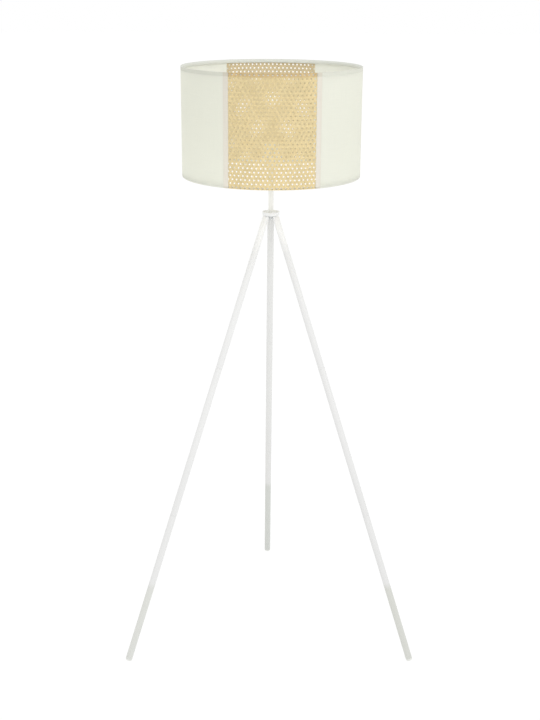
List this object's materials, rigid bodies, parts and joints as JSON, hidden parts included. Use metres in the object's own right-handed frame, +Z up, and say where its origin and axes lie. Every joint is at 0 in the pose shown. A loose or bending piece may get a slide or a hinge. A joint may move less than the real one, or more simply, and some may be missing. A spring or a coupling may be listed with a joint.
{
  "type": "tripod floor lamp",
  "caption": "Floor lamp on a slim splayed tripod of round tubes, with a short stem and a wide drum shade of plain fabric side panels and woven cane panels at front and back.",
  "frame": {"origin": "on the lamp's axis at floor level, midway between the feet", "axes": "+Z up along the stem; the front cane panel faces -Y; +X to the right seen from the front; the third leg points to +Y"},
  "size_m": [0.768, 0.6675, 1.54],
  "materials": {
    "white_coat": "white satin powder coat on steel tube",
    "white_wire": "white enamelled steel wire and plate",
    "zinc_steel": "bright zinc plated steel",
    "foot_plastic": "off-white moulded polyethylene",
    "holder_plastic": "white moulded thermoplastic",
    "brass": "pressed brass",
    "shade_fabric": "ivory cotton-linen laminated on a stiff backing",
    "cane": "woven natural cane, unvarnished",
    "edge_binding": "off-white cotton edge tape"
  },
  "bodies": {
    "stand": {"cap_screw": "zinc_steel", "cord_bush": "holder_plastic", "foot_cap_back": "foot_plastic", "foot_cap_left": "foot_plastic", "foot_cap_right": "foot_plastic", "holder_body": "holder_plastic", "holder_cap": "holder_plastic", "holder_core": "holder_plastic", "hollow_rod": "zinc_steel", "hub_disc": "white_coat", "hub_leg_studs": "zinc_steel", "hub_nut": "zinc_steel", "hub_washer": "zinc_steel", "leg_joint_sockets": "zinc_steel", "leg_joint_studs": "zinc_steel", "leg_lower_back": "white_coat", "leg_lower_left": "white_coat", "leg_lower_right": "white_coat", "leg_middle_back": "white_coat", "leg_middle_left": "white_coat", "leg_middle_right": "white_coat", "leg_top_inserts": "zinc_steel", "leg_upper_back": "white_coat", "leg_upper_left": "white_coat", "leg_upper_right": "white_coat", "screw_shell": "brass", "stem_sleeve": "white_coat", "terminal_screws": "zinc_steel"},
    "shade": {"bottom_binding": "edge_binding", "bottom_ring": "white_wire", "cane_back": "cane", "cane_front": "cane", "fabric_left": "shade_fabric", "fabric_right": "shade_fabric", "spider_arm_a": "white_wire", "spider_arm_b": "white_wire", "spider_arm_c": "white_wire", "spider_ring": "white_wire", "top_binding": "edge_binding", "top_ring": "white_wire"},
    "clamp_ring": {"clamp_ring": "holder_plastic"},
    "contact": {"centre_contact": "brass"}
  },
  "joints": [
    {"name": "shade_turn", "type": "hinge", "parent": "stand", "child": "shade", "pos_m": [0, 0, 1.3133], "axis": [0, 0, 1], "continuous": true},
    {"name": "clamp_ring_turn", "type": "hinge", "parent": "stand", "child": "clamp_ring", "pos_m": [0, 0, 1.3156], "axis": [0, 0, 1], "range_deg": [0, 90]},
    {"name": "contact_flex", "type": "hinge", "parent": "stand", "child": "contact", "pos_m": [-0.006, 0, 1.3158], "axis": [0, 1, 0], "range_deg": [0, 14], "stiffness_Nm_per_rad": 0.05}
  ]
}
